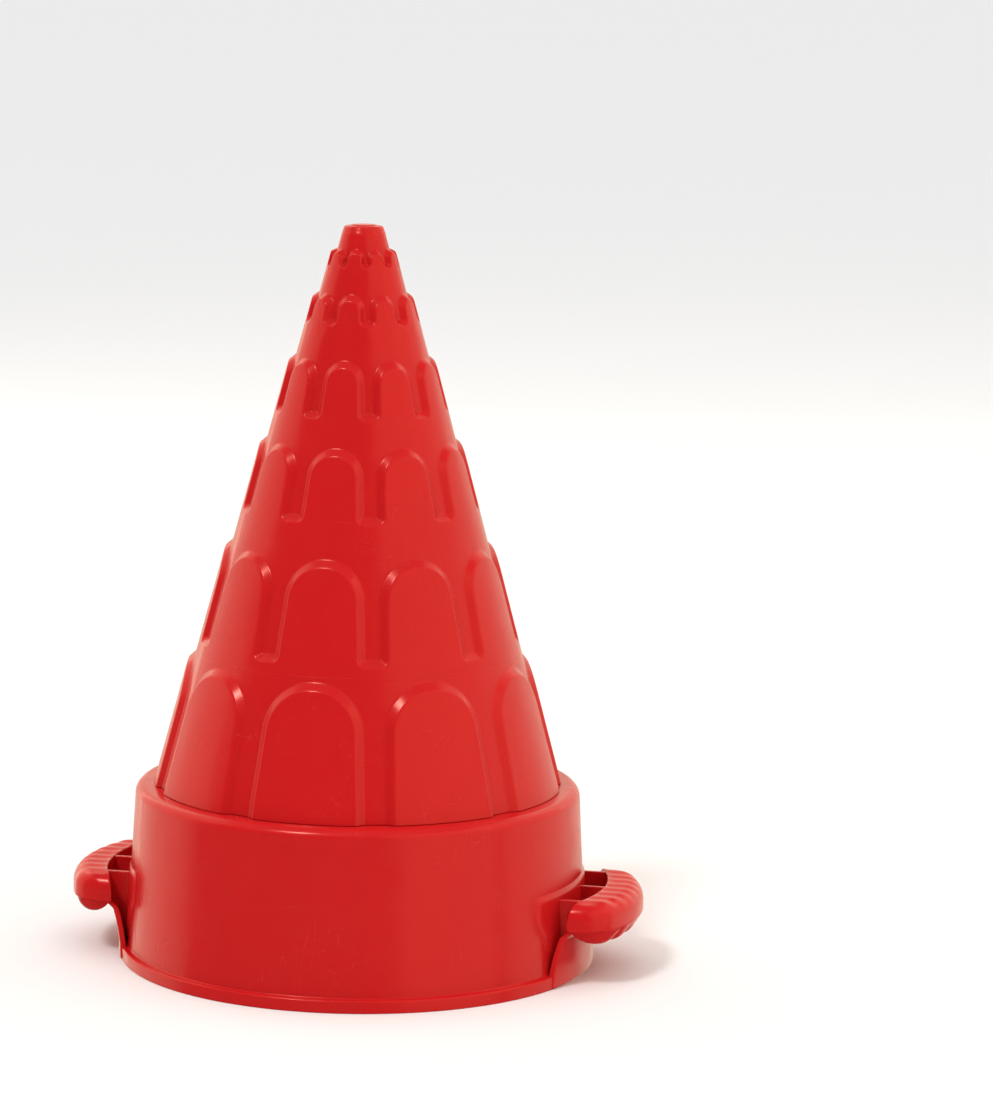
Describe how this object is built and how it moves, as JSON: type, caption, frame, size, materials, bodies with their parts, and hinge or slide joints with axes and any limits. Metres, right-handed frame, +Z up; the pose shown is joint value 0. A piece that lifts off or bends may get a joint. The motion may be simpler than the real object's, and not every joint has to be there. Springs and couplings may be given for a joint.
{
  "type": "sand castle tower mould",
  "caption": "Hollow cone-shaped sand mould, open below, with storeys of raised arches, a round foot collar and two side handles.",
  "frame": {"origin": "centre of the base, on the surface the mould stands on", "axes": "+Z up the tower's axis to the tip; -Y front, through the middle of one column of arches; the two handles are opposite each other, 2 degrees anticlockwise from the X axis seen from above"},
  "size_m": [0.2072, 0.1698, 0.2627],
  "materials": {
    "red_plastic": "glossy"
  },
  "bodies": {
    "root": {"tower_shell": "red_plastic", "base_collar": "red_plastic", "handle_right": "red_plastic", "handle_left": "red_plastic"}
  },
  "joints": []
}
